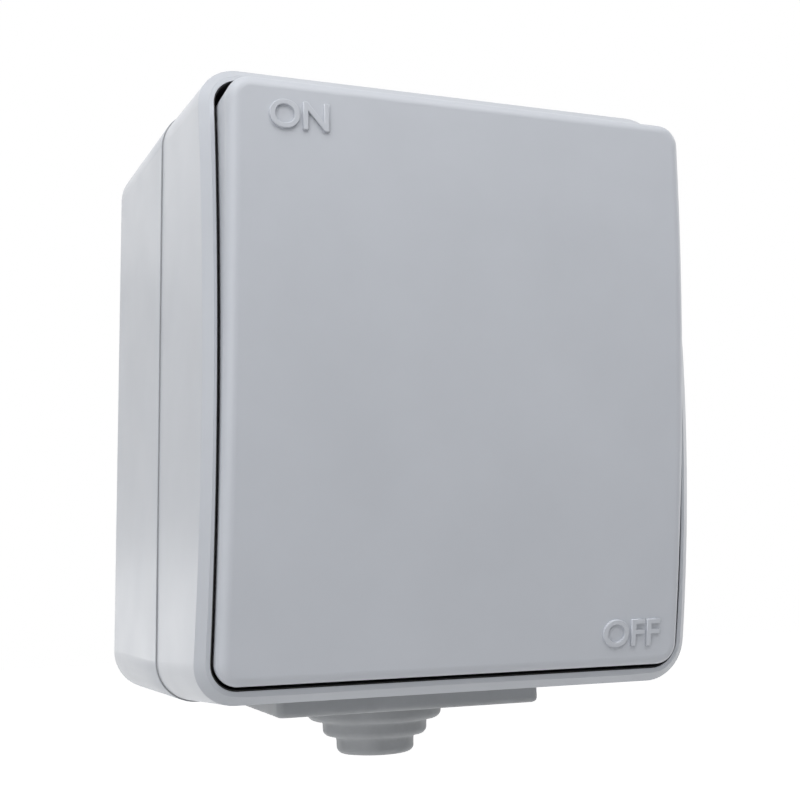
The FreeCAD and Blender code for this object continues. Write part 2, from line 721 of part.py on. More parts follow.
def nose_outline(sketch, start, radius):
    """Quarter disc on the axis; turned, it makes a half ball that points to the wall."""
    y = size(start)
    r = size(radius)
    middle = FreeCAD.Vector(0, y, 0)
    ring = Part.Circle(middle, FreeCAD.Vector(0, 0, 1), r)
    arc = sketch.addGeometry(Part.ArcOfCircle(ring, 0, math.pi / 2))
    rim = FreeCAD.Vector(r, y, 0)
    tip = FreeCAD.Vector(0, y + r, 0)
    side = sketch.addGeometry(Part.LineSegment(tip, middle))
    base = sketch.addGeometry(Part.LineSegment(middle, rim))
    constrain(sketch, "Coincident", arc, 2, side, 1)
    constrain(sketch, "Coincident", side, 2, base, 1)
    constrain(sketch, "Coincident", base, 2, arc, 1)
    constrain(sketch, "Coincident", arc, 3, base, 1)
    constrain(sketch, "Vertical", side)
    constrain(sketch, "Horizontal", base)
    place_point(sketch, base, 1, "0", start)
    constrain(sketch, "Radius", arc, text=radius)


def make_plunger_spring():
    """Coil between the bottom of the leg's bore and the plunger, drawn along Z."""
    coil = doc.addObject("Part::Helix", "spring_path")
    span = "(spring_seat + plunger_top - spring_wire)"
    bind(coil, "Height", span)
    bind(coil, "Pitch", span + " / spring_turns")
    bind(coil, "Radius", "plunger / 2 - spring_gap - spring_wire / 2")
    bind(coil, "Placement.Base.z", "spring_wire / 2 - plunger_top")
    wire = doc.addObject("Part::RegularPolygon", "spring_section")
    wire.Polygon = 6
    bind(wire, "Circumradius", "spring_wire / 2")
    bind(wire, "Placement.Base.x", "plunger / 2 - spring_gap - spring_wire / 2")
    bind(wire, "Placement.Base.z", "spring_wire / 2 - plunger_top")
    across = FreeCAD.Rotation(FreeCAD.Vector(0, 0, 1), 30)
    wire.Placement.Rotation = FreeCAD.Rotation(FreeCAD.Vector(1, 0, 0), 90).multiply(across)
    spring = doc.addObject("Part::Sweep", "plunger_spring")
    spring.Sections = [wire]
    spring.Spine = (coil, ["Edge1"])
    spring.Solid = True
    spring.Frenet = True
    spring.Label = "plunger_spring"
    NODES.append(spring)
    hang_on_pivot(spring, "90 + rocker_tilt")


# Switch base: plate on two posts, with the contact chamber's walls and the slots for the strips

def make_switch_base():
    body = new_body("switch_base")
    plate = new_sketch(body, "plate_outline", "XZ_Plane", "base_depth")
    rounded_rectangle(plate, "base_width", "base_height", "base_corner")
    pad(body, "plate", plate, "base_thickness")
    walls = new_sketch(body, "chamber_outline", "XZ_Plane", "base_depth + base_thickness / 2")
    rounded_rectangle(walls, "chamber_width", "chamber_height", "chamber_corner")
    rounded_rectangle(walls, "chamber_width - 2 * chamber_wall", "chamber_height - 2 * chamber_wall",
                      "chamber_corner - chamber_wall / 2")
    pad(body, "chamber", walls, "chamber_top_depth - base_depth - base_thickness / 2")
    holes = new_sketch(body, "base_hole_outline", "XZ_Plane", STRIP_DEPTH)
    for x, z in BASE_SCREWS:
        circle(holes, CLEARANCE_HOLE, x, z)
    pocket(body, "base_holes", holes, "base_thickness")

    half = "(strip_width / 2 + strip_gap)"
    slots = new_sketch(body, "strip_slot_outline", "XZ_Plane", STRIP_TOP + " + strip_gap")
    for z in pair("tip_spacing"):
        rectangle(slots, "-strip_reach", "0", "%s - %s" % (z, half), "%s + %s" % (z, half))
    rectangle(slots, "0", "strip_reach", "-" + half, half)
    pocket(body, "strip_slots", slots, "strip + strip_gap")


def make_chamber_lid():
    body = new_body("chamber_lid")
    plate = new_sketch(body, "lid_outline", "XZ_Plane", "chamber_top_depth")
    rounded_rectangle(plate, "chamber_width", "chamber_height", "chamber_corner")
    rectangle(plate, "-lid_slot_width / 2", "lid_slot_width / 2",
              "-lid_slot_height / 2", "lid_slot_height / 2")
    pad(body, "lid", plate, "lid_thickness")
    lip = new_sketch(body, "lid_lip_outline", "XZ_Plane", "chamber_top_depth")
    for step in ("(chamber_wall + strip_gap)", "(2 * chamber_wall + strip_gap)"):
        rounded_rectangle(lip, "chamber_width - 2 * %s" % step, "chamber_height - 2 * %s" % step,
                          "chamber_corner - chamber_wall / 2")
    pad(body, "lid_lip", lip, "lid_thickness", flip=True)


# Contact bar: see-saw on two pins, drawn about its own pivot

def make_contact_bar():
    body = new_body("contact_bar")
    bar = new_sketch(body, "bar_outline", "XZ_Plane", "-bar_thickness / 2")
    rounded_rectangle(bar, "bar_width", "bar_length", "bar_width / 4")
    pad(body, "bar", bar, "bar_thickness")
    root = "(bar_width / 2 - bar_pin / 2)"
    for side, start, flip in (("left", "-" + root, True), ("right", root, False)):
        pin = new_sketch(body, side + "_pin_outline", "YZ_Plane", start)
        circle(pin, "bar_pin")
        pad(body, side + "_pin", pin, "%s + ear_gap / 2 - %s" % (EAR_OUTER, root), flip=flip)
    hang_on_bar(body)


def hang_on_bar(thing):
    """Place a piece that is drawn about the see-saw's pivot, with its top end in."""
    thing.Placement.Rotation.Axis = FreeCAD.Vector(1, 0, 0)
    bind(thing, "Placement.Base.y", "-" + BAR_DEPTH)
    bind(thing, "Placement.Rotation.Angle", "-bar_swing * 1 deg")


def tips(label, depth, flip):
    """Two contact tips, one above and one below the see-saw's pivot."""
    body = new_body(label)
    discs = new_sketch(body, label + "_outline", "XZ_Plane", depth)
    for z in pair("tip_spacing"):
        circle(discs, "tip", "0", z)
    pad(body, "discs", discs, "tip_height", flip=flip)
    return body


# Terminals: brass strip with a pillar block; the common one also has the see-saw's ears

def terminal(label, left, right, block_left, block_right, z):
    body = new_body(label)
    strip = new_sketch(body, "strip_outline", "XZ_Plane", STRIP_DEPTH)
    rectangle(strip, left, right, "%s - strip_width / 2" % z, "%s + strip_width / 2" % z)
    pad(body, "strip", strip, "strip")
    block = new_sketch(body, "block_outline", "XZ_Plane", STRIP_DEPTH + " + strip / 2")
    rectangle(block, block_left, block_right, "%s - block / 2" % z, "%s + block / 2" % z)
    pad(body, "block", block, "strip / 2 + block")
    middle = "(%s + %s) / 2" % (block_left, block_right)
    wire = new_sketch(body, "wire_hole_outline", "YZ_Plane", block_left)
    circle(wire, "block_wire_hole", "-(%s + block_wire_height)" % STRIP_TOP, z)
    pocket(body, "wire_hole", wire, "block", flip=True)
    screw = new_sketch(body, "screw_hole_outline", "XZ_Plane", BLOCK_TOP)
    circle(screw, PILOT, middle, z)
    pocket(body, "screw_hole", screw, "block - block_wire_height")
    return body


def make_terminals():
    inner = "-%s - ear_gap" % EAR_OUTER
    common = terminal("common_terminal", inner, "strip_reach", "strip_reach - block", "strip_reach", "0")
    for side, start in (("left", "-" + EAR_OUTER), ("right", EAR_INNER)):
        ear = new_sketch(common, side + "_ear_outline", "YZ_Plane", start)
        lug_outline(ear, "-(%s + strip / 2)" % STRIP_DEPTH, "-" + BAR_DEPTH, "ear_width")
        pad(common, side + "_ear", ear, "ear_thickness")
    bore = new_sketch(common, "ear_bore_outline", "YZ_Plane")
    circle(bore, "bar_pin + 2 * bar_pin_gap", "-" + BAR_DEPTH)
    pocket(common, "ear_bores", bore, "2 * %s + ear_gap" % EAR_OUTER, both=True)
    for label, z in zip(("upper_terminal", "lower_terminal"), pair("tip_spacing")):
        terminal(label, "-strip_reach", "tip", "-strip_reach", "block - strip_reach", z)


# Screws: slotted pan heads, one node for each set

def screws(label, places, seat, length):
    """A set of equal screws whose heads sit at one depth and whose shanks run towards the wall."""
    turned = []
    for number, (x, z) in enumerate(places, start=1):
        stem = "%s_%d" % (label, number)
        shank = doc.addObject("Part::Cylinder", stem + "_shank")
        bind(shank, "Radius", "screw_shank / 2")
        bind(shank, "Height", length)
        head = doc.addObject("Part::Cylinder", stem + "_head")
        bind(head, "Radius", "screw_head / 2")
        bind(head, "Height", "screw_head_height")
        slot = doc.addObject("Part::Box", stem + "_slot")
        bind(slot, "Length", "2 * screw_head")
        bind(slot, "Width", "screw_slot")
        bind(slot, "Height", "2 * screw_slot_depth")
        axis = FreeCAD.Rotation(FreeCAD.Vector(1, 0, 0), 90)
        for piece, start in ((shank, "%s - (%s)" % (seat, length)), (head, seat)):
            piece.Placement.Rotation = axis
            bind(piece, "Placement.Base.x", x)
            bind(piece, "Placement.Base.y", "-(%s)" % start)
            bind(piece, "Placement.Base.z", z)
        slot.Placement.Rotation = axis
        bind(slot, "Placement.Base.x", "%s - screw_head" % x)
        bind(slot, "Placement.Base.y", "-(%s + screw_head_height - screw_slot_depth)" % seat)
        bind(slot, "Placement.Base.z", "%s - screw_slot / 2" % z)
        whole = doc.addObject("Part::Fuse", stem + "_blank")
        whole.Base = head
        whole.Tool = shank
        screw = doc.addObject("Part::Cut", stem)
        screw.Base = whole
        screw.Tool = slot
        turned.append(screw)
    group = doc.addObject("Part::Compound", label)
    group.Links = turned
    group.Label = label
    NODES.append(group)


# Cable grommet: soft plate in the bottom wall with a three-step cone, closed at its end.
# Drawn about the outside of the wall, which leans by the box's draft; -Z points out.

def make_cable_grommet():
    body = new_body("cable_grommet")
    plate = new_sketch(body, "plate_outline", "XY_Plane")
    rounded_rectangle(plate, "plate_width", PLATE_LENGTH, "plate_corner")
    pad(body, "plate", plate, "plate_thickness", flip=True)
    dress(body, "Chamfer", "plate_edge", round_face(level("-plate_thickness")), "Size", "plate_edge")
    waist = new_sketch(body, "waist_outline", "XY_Plane", "-plate_thickness / 2")
    rounded_rectangle(waist, ENTRY_WIDTH + " - 2 * grommet_gap", ENTRY_LENGTH + " - 2 * grommet_gap",
                      "plate_corner")
    pad(body, "waist", waist, "plate_thickness / 2 + wall + grommet_gap")
    flange = new_sketch(body, "flange_outline", "XY_Plane", "wall + grommet_gap")
    rounded_rectangle(flange, ENTRY_WIDTH + " + 2 * flange_reach", ENTRY_LENGTH + " + 2 * flange_reach",
                      "plate_corner")
    pad(body, "inner_flange", flange, "inner_flange")

    inside = "(wall + grommet_gap + inner_flange)"
    reach = "plate_thickness"
    ends = {}
    for name in ("first", "second", "third"):
        step = new_sketch(body, name + "_step_outline", "XY_Plane", "-(%s)" % reach)
        circle(step, "cone_" + name, "0", "cone_setback")
        pad(body, name + "_step", step, "cone_%s_height" % name, flip=True)
        reach = "%s + cone_%s_height" % (reach, name)
        dress(body, "Chamfer", name + "_edge", round_face(level("-(%s)" % reach)), "Size", "cone_edge")
        ends[name] = reach
    for name, end in ends.items():
        hollow = new_sketch(body, name + "_bore_outline", "XY_Plane", inside)
        circle(hollow, "cone_%s - 2 * cone_wall" % name, "0", "cone_setback")
        pocket(body, name + "_bore", hollow, "%s + %s - cone_wall" % (inside, end))
    body.Placement.Rotation.Axis = FreeCAD.Vector(1, 0, 0)
    bind(body, "Placement.Base.x", "entry_offset")
    bind(body, "Placement.Base.y", "-" + PLATE_MIDDLE)
    bind(body, "Placement.Base.z", "-(box_height / 2 - %s * %s)" % (BOX_DRAFT, PLATE_MIDDLE))
    bind(body, "Placement.Rotation.Angle", "-atan(%s)" % BOX_DRAFT)


make_back_box()
make_cover_seal()
make_front_cover()
make_rocker_membrane()
make_rocker()
make_rocker_carrier()
make_plunger()
make_plunger_spring()
make_switch_base()
make_chamber_lid()
make_contact_bar()
hang_on_bar(tips("bar_tips", "-bar_thickness / 2", True))
make_terminals()
tips("fixed_tips", STRIP_TOP, False)
screws("cover_screws", COVER_CORNERS, "(deck_depth - %s)" % HEAD_SINK,
       "deck_depth - %s - seam_depth + cover_screw_grip" % HEAD_SINK)
screws("base_screws", BASE_SCREWS, STRIP_DEPTH, "base_thickness + base_screw_grip")
left_blocks = [("block / 2 - strip_reach", z) for z in pair("tip_spacing")]
right_block = ("strip_reach - block / 2", "0")
screws("terminal_screws", left_blocks + [right_block], BLOCK_TOP, "block_screw_depth")
make_cable_grommet()
doc.recompute()

failed = [thing.Name for thing in doc.Objects if {"Invalid", "Error"} & set(thing.State)]
if failed:
    raise RuntimeError("objects failed: " + ", ".join(failed))
for node in NODES:
    if node.Shape.isNull() or not node.Shape.isValid():
        raise RuntimeError("bad shape: " + node.Label)

os.makedirs("parts", exist_ok=True)
for node in NODES:
    node.Shape.exportStep("parts/%s.step" % node.Label)
    print("%-18s %d solids  %9.2f mm3" % (node.Label, len(node.Shape.Solids), node.Shape.Volume))
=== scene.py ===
import json
import math

import bmesh
import bpy
from mathutils import Matrix, Vector


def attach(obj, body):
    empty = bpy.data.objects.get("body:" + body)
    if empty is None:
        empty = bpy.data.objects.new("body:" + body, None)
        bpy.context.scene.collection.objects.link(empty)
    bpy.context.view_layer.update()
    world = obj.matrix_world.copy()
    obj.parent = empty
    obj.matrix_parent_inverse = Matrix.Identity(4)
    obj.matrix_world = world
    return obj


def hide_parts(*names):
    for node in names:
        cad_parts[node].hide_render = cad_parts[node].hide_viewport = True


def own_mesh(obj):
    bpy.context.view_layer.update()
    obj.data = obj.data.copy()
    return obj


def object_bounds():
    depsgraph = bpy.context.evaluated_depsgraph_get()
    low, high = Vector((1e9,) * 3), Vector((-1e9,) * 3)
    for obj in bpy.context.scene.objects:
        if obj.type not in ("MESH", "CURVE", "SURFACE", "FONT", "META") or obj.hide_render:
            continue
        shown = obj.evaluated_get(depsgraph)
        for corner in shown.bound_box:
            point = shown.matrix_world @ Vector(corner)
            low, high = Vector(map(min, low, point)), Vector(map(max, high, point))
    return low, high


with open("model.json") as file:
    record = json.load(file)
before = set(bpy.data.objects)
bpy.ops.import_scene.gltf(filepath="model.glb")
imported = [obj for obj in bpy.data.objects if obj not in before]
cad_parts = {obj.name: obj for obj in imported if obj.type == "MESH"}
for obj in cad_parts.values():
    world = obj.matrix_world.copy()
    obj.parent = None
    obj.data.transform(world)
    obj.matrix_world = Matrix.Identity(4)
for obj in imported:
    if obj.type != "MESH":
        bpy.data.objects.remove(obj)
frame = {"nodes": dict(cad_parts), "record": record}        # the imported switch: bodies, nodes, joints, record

CAD_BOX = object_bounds()
MM = 0.001
PER_MM = 1 / MM

# Rocker pose and form, in millimetres and degrees about its pivot axis
PIVOT_DEPTH = 50.0
ROCKER_TILT = 4.5
ROCKER_APEX = 11.55
ROCKER_CROWN = 1.8
ROCKER_HALF = 35.5
ROCKER_RADIUS = (ROCKER_HALF ** 2 + ROCKER_CROWN ** 2) / (2 * ROCKER_CROWN)

# Recess in the cover that the rocker sits in, in millimetres from the wall face and its middle
RECESS_HALF_WIDTH = 30.7
RECESS_HALF_HEIGHT = 36.65
RECESS_CORNER = 3.4
RECESS_FLOOR = 45.8
FRONT_APEX = 59.2
FRONT_RADIUS = 171.72

# Seam between box and cover, in millimetres
SEAM_DEPTH = 32.8
SEAM_HALF_WIDTH = 33.9
SEAM_HALF_HEIGHT = 40.6
SEAM_CORNER = 5.5
SEAM_STEP = 0.2

# Colours, linear
HOUSING_GREY = (0.486, 0.509, 0.552)
ROCKER_GREY = (0.517, 0.540, 0.586)
GROMMET_GREY = (0.362, 0.374, 0.390)
# also on the black sheet in the recess, where it paints the deep shade of the gap round the rocker
BLACK_RUBBER = (0.006, 0.006, 0.006)
# dark grey of the seam lip: partly the seal's edge, partly a painted shadow line in the seam
SEAM_SEAL_AND_SHADOW_GREY = (0.30, 0.306, 0.318)
CARRIER_BLACK = (0.030, 0.030, 0.032)
INNER_WHITE = (0.70, 0.69, 0.66)
BRASS = (0.62, 0.43, 0.15)
SILVER = (0.72, 0.71, 0.69)
ZINC = (0.52, 0.52, 0.53)
SPRING_STEEL = (0.42, 0.42, 0.43)
FLOOR_WHITE = (0.86, 0.86, 0.86)
WHITE = (1, 1, 1, 1)


# Materials

# Range that most of a noise texture's values lie in
NOISE_LOW = 0.3
NOISE_HIGH = 0.7

# Sockets of a Mix node that mixes colours
MIX_FACTOR = 0
MIX_FIRST = 6
MIX_SECOND = 7
MIX_RESULT = 2

FLOOR_GLOW = 0.85


class Shader:
    """A material with one Principled shader, and short ways to add nodes to it."""

    def __init__(self, name):
        self.material = bpy.data.materials.new(name)
        self.material.use_nodes = True
        self.tree = self.material.node_tree
        self.tree.nodes.clear()
        self.output = self.node("ShaderNodeOutputMaterial")
        self.surface = self.node("ShaderNodeBsdfPrincipled")
        self.link(self.surface.outputs["BSDF"], self.output.inputs["Surface"])
        self.place = self.node("ShaderNodeTexCoord").outputs["Object"]
        self.normal = None

    def node(self, kind, **settings):
        made = self.tree.nodes.new(kind)
        for key, value in settings.items():
            setattr(made, key, value)
        return made

    def link(self, source, target):
        self.tree.links.new(source, target)

    def set(self, **values):
        """Plain values on the shader's own sockets, with _ for a space in a socket's name."""
        for key, value in values.items():
            self.surface.inputs[key.replace("_", " ")].default_value = value

    def noise(self, feature_mm, detail, roughness=0.5, stretch=(1, 1, 1)):
        """Noise whose features are about so many millimetres across."""
        mapping = self.node("ShaderNodeMapping")
        mapping.inputs["Scale"].default_value = [PER_MM / feature_mm * share for share in stretch]
        self.link(self.place, mapping.inputs["Vector"])
        made = self.node("ShaderNodeTexNoise")
        made.inputs["Scale"].default_value = 1.0
        made.inputs["Detail"].default_value = detail
        made.inputs["Roughness"].default_value = roughness
        self.link(mapping.outputs["Vector"], made.inputs["Vector"])
        return made.outputs["Fac"]

    def spread(self, pattern, low, high):
        """The noise pattern stretched to a new range."""
        made = self.node("ShaderNodeMapRange")
        made.inputs["From Min"].default_value = NOISE_LOW
        made.inputs["From Max"].default_value = NOISE_HIGH
        made.inputs["To Min"].default_value = low
        made.inputs["To Max"].default_value = high
        self.link(pattern, made.inputs["Value"])
        return made.outputs["Result"]

    def tint(self, colour, pattern, dark, pale):
        """Base colour that varies with a pattern, from a darker to a paler share of the colour."""
        made = self.node("ShaderNodeMix", data_type="RGBA")
        self.link(self.spread(pattern, 0, 1), made.inputs[MIX_FACTOR])
        for socket, share in ((MIX_FIRST, dark), (MIX_SECOND, pale)):
            made.inputs[socket].default_value = (*[part * share for part in colour], 1)
        self.link(made.outputs[MIX_RESULT], self.surface.inputs["Base Color"])

    def roughness(self, pattern, middle, less, more):
        """Roughness that varies with a pattern about a middle value."""
        self.link(self.spread(pattern, middle - less, middle + more), self.surface.inputs["Roughness"])

    def bump(self, height, depth_mm, strength):
        """One more layer of bump, from a height of 0 to 1, over the layers before it."""
        made = self.node("ShaderNodeBump")
        made.inputs["Strength"].default_value = strength
        made.inputs["Distance"].default_value = depth_mm * MM
        self.link(height, made.inputs["Height"])
        if self.normal is not None:
            self.link(self.normal, made.inputs["Normal"])
        self.normal = made.outputs["Normal"]
        self.link(self.normal, self.surface.inputs["Normal"])


def moulded_plastic(name, colour, roughness=0.36):
    """Satin moulded plastic: faint flow clouds, uneven gloss, shallow waves and fine eroded grain."""
    look = Shader(name)
    look.tint(colour, look.noise(feature_mm=14, detail=3), dark=0.975, pale=1.02)
    look.roughness(look.noise(feature_mm=9, detail=2), middle=roughness, less=0.02, more=0.03)
    look.set(IOR=1.5)
    look.bump(look.noise(feature_mm=30, detail=1), depth_mm=0.05, strength=0.25)
    look.bump(look.noise(feature_mm=0.22, detail=1.5), depth_mm=0.003, strength=0.30)
    return look.material


def rubber(name, colour):
    """Matt moulded rubber with a dusty bloom."""
    look = Shader(name)
    look.tint(colour, look.noise(feature_mm=5, detail=5, roughness=0.6), dark=0.93, pale=1.07)
    look.roughness(look.noise(feature_mm=1.2, detail=3), middle=0.55, less=0.06, more=0.08)
    look.set(IOR=1.45)
    look.bump(look.noise(feature_mm=0.35, detail=2), depth_mm=0.012, strength=0.4)
    return look.material


def metal(name, colour, roughness, stretch=(1, 1, 1)):
    """Bare or plated metal with fine drawn marks."""
    look = Shader(name)
    marks = look.noise(feature_mm=0.4, detail=3, stretch=stretch)
    patches = look.noise(feature_mm=0.8, detail=2, stretch=stretch)
    look.tint(colour, marks, dark=0.88, pale=1.05)
    look.roughness(patches, middle=roughness, less=0.06, more=0.08)
    look.set(Metallic=1.0)
    look.bump(marks, depth_mm=0.004, strength=0.3)
    return look.material


def floor_finish():
    """White paper that keeps a soft shadow."""
    look = Shader("white_floor")
    look.set(Roughness=0.9, Base_Color=(*FLOOR_WHITE, 1))
    path = look.node("ShaderNodeLightPath")
    glow = look.node("ShaderNodeEmission")
    glow.inputs["Color"].default_value = WHITE
    seen = look.node("ShaderNodeMath", operation="MAXIMUM")
    look.link(path.outputs["Is Camera Ray"], seen.inputs[0])
    look.link(path.outputs["Is Glossy Ray"], seen.inputs[1])
    strength = look.node("ShaderNodeMath", operation="MULTIPLY")
    strength.inputs[1].default_value = FLOOR_GLOW
    look.link(seen.outputs[0], strength.inputs[0])
    look.link(strength.outputs[0], glow.inputs["Strength"])
    both = look.node("ShaderNodeAddShader")
    look.link(look.surface.outputs["BSDF"], both.inputs[0])
    look.link(glow.outputs["Emission"], both.inputs[1])
    look.link(both.outputs["Shader"], look.output.inputs["Surface"])
    return look.material


def dress_nodes():
    """Give every CAD node its finish, and return those that the scene's own pieces share."""
    housing = moulded_plastic("housing_plastic", HOUSING_GREY)
    rocker = moulded_plastic("rocker_plastic", ROCKER_GREY, roughness=0.40)
    black = rubber("black_rubber", BLACK_RUBBER)
    grommet = rubber("grommet_rubber", GROMMET_GREY)
    carrier = moulded_plastic("carrier_plastic", CARRIER_BLACK, roughness=0.42)
    inner = moulded_plastic("inner_plastic", INNER_WHITE, roughness=0.45)
    brass = metal("brass_strip", BRASS, roughness=0.28, stretch=(0.2, 1, 1))
    silver = metal("contact_silver", SILVER, roughness=0.22)
    zinc = metal("zinc_plate", ZINC, roughness=0.34)
    spring = metal("spring_wire", SPRING_STEEL, roughness=0.30, stretch=(1, 0.3, 1))
    finishes = {
        "back_box": housing, "front_cover": housing, "rocker": rocker, "rocker_membrane": black,
        "cover_seal": black, "cable_grommet": grommet, "rocker_carrier": carrier, "plunger": inner,
        "plunger_spring": spring, "switch_base": inner, "chamber_lid": inner, "contact_bar": brass,
        "bar_tips": silver, "common_terminal": brass, "upper_terminal": brass, "lower_terminal": brass,
        "fixed_tips": silver, "cover_screws": zinc, "base_screws": zinc, "terminal_screws": zinc,
    }
    for node, finish in finishes.items():
        mesh = frame["nodes"][node].data
        mesh.materials.clear()
        mesh.materials.append(finish)
    return rocker, black, spring


# Soft edges of the plastic box and the rubber grommet, lengths in millimetres and angle in degrees

WELD_REACH = 0.001
EDGE_WIDTH = 0.15
EDGE_SEGMENTS = 3
EDGE_ANGLE = 22
VOXEL_SIZE = 0.28
SMOOTH_FACTOR = 0.5
SMOOTH_PASSES = 7
FACES_KEPT = 0.3


def soften(node):
    """Round the sharp edges of a CAD node a little, as a mould leaves them."""
    piece = frame["nodes"][node]
    weld = piece.modifiers.new("weld", "WELD")
    weld.merge_threshold = WELD_REACH * MM
    rounding = piece.modifiers.new("soft_edges", "BEVEL")
    rounding.width = EDGE_WIDTH * MM
    rounding.segments = EDGE_SEGMENTS
    rounding.limit_method = "ANGLE"
    rounding.angle_limit = math.radians(EDGE_ANGLE)
    rounding.harden_normals = True


def melt(node):
    """Round every edge of a soft CAD node, by an even mesh that is smoothed and then thinned out."""
    piece = frame["nodes"][node]
    even = piece.modifiers.new("even_mesh", "REMESH")
    even.mode = "VOXEL"
    even.voxel_size = VOXEL_SIZE * MM
    even.use_smooth_shade = True
    smooth = piece.modifiers.new("round_edges", "SMOOTH")
    smooth.factor = SMOOTH_FACTOR
    smooth.iterations = SMOOTH_PASSES
    lean = piece.modifiers.new("lean_mesh", "DECIMATE")
    lean.ratio = FACES_KEPT


# Helpers for the scene's own pieces

def add_object(name, data):
    """New object in the scene."""
    made = bpy.data.objects.new(name, data)
    bpy.context.scene.collection.objects.link(made)
    return made


def mesh_from_curve(curve):
    """The curve's surface as a mesh."""
    holder = add_object(curve.name, curve)
    bpy.context.view_layer.update()
    mesh = bpy.data.meshes.new_from_object(holder.evaluated_get(bpy.context.evaluated_depsgraph_get()))
    bpy.data.objects.remove(holder)
    return mesh


def face_outward(mesh, merge_mm=0):
    """Turn all faces outward, after points that lie together are merged."""
    shaped = bmesh.new()
    shaped.from_mesh(mesh)
    if merge_mm > 0:
        bmesh.ops.remove_doubles(shaped, verts=shaped.verts, dist=merge_mm * MM)
    bmesh.ops.recalc_face_normals(shaped, faces=shaped.faces)
    shaped.to_mesh(mesh)
    shaped.free()


# Thin rubber edges that show, lengths in millimetres: in the recess a black sheet that paints the deep shade in
# the gap round the rocker, in the seam a dark-grey lip that is partly the seal's edge and partly a painted
# shadow line

ARC_STEPS = 10
SIDE_STEPS = 36
SHADE_SHEET_GAP = 0.02
SHADE_SHEET_THICKNESS = 0.13
SHADE_SHEET_DROP = 0.18
LIP_WIDTH = 0.12
LIP_HEIGHT = 0.14
LIP_GAP = 0.01


def rounded_loop(half_width, half_height, corner):
    """Points round a rectangle with round corners, close together along its sides too."""
    across = half_width - corner
    upward = half_height - corner
    centres = [(across, upward), (-across, upward), (-across, -upward), (across, -upward)]
    loop = []
    for quarter, (centre_x, centre_z) in enumerate(centres):
        for step in range(ARC_STEPS + 1):
            angle = (quarter + step / ARC_STEPS) * math.pi / 2
            loop.append((centre_x + corner * math.cos(angle), centre_z + corner * math.sin(angle)))
        end_x, end_z = loop[-1]
        next_x, next_z = centres[(quarter + 1) % len(centres)]
        next_x += corner * math.cos(angle)
        next_z += corner * math.sin(angle)
        for step in range(1, SIDE_STEPS):
            share = step / SIDE_STEPS
            loop.append((end_x + (next_x - end_x) * share, end_z + (next_z - end_z) * share))
    return loop


def inset_loop(half_width, half_height, corner, inset):
    """The rounded rectangle, drawn in on all sides."""
    return rounded_loop(half_width - inset, half_height - inset, corner - inset)


def rubber_ring(name, outer, inner, back, front, finish):
    """Closed ring on the housing between two loops, from a back depth to a front depth at each height."""
    edges = ((outer, back), (outer, front), (inner, front), (inner, back))
    points = []
    for loop, level in edges:
        points += [(x * MM, -level(z) * MM, z * MM) for x, z in loop]
    count = len(outer)
    faces = []
    for side in range(len(edges)):
        first = side * count
        second = (side + 1) % len(edges) * count
        for here in range(count):
            beyond = (here + 1) % count
            faces.append((first + here, first + beyond, second + beyond, second + here))
    mesh = bpy.data.meshes.new(name)
    mesh.from_pydata(points, [], faces)
    face_outward(mesh)
    mesh.materials.append(finish)
    ring = add_object(name, mesh)
    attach(ring, "housing")


def front_level(z):
    """Depth of the cover's arched front at a height."""
    return FRONT_APEX - FRONT_RADIUS + math.sqrt(FRONT_RADIUS ** 2 - z ** 2)


def recess_shade_sheet(finish):
    """Thin black wall just inside the recess, up to the cover's arched front, that paints the deep shade in the
    gap round the rocker.
    """
    size = (RECESS_HALF_WIDTH, RECESS_HALF_HEIGHT, RECESS_CORNER)
    outer = inset_loop(*size, SHADE_SHEET_GAP)
    inner = inset_loop(*size, SHADE_SHEET_GAP + SHADE_SHEET_THICKNESS)
    rubber_ring("recess_shade_sheet", outer, inner,
                lambda z: RECESS_FLOOR, lambda z: front_level(z) - SHADE_SHEET_DROP, finish)


def seam_lip_and_shadow(finish):
    """Fine lip of the seal at the cover's foot, on the small step that the box leaves round it; its dark grey
    is partly the seal's edge and partly a painted shadow line in the seam.
    """
    size = (SEAM_HALF_WIDTH, SEAM_HALF_HEIGHT, SEAM_CORNER)
    outer = inset_loop(*size, SEAM_STEP - LIP_WIDTH)
    inner = inset_loop(*size, SEAM_STEP)
    rubber_ring("seam_lip_and_shadow", outer, inner,
                lambda z: SEAM_DEPTH + LIP_GAP, lambda z: SEAM_DEPTH + LIP_HEIGHT, finish)


# Spring behind the plunger, lengths in millimetres

SPRING_WIRE = 0.5
SPRING_RADIUS = 1.9
SPRING_TURNS = 5
SPRING_SEAT = 3.0
SPRING_LENGTH = 9.0
TURN_STEPS = 24
WIRE_ROUNDNESS = 3


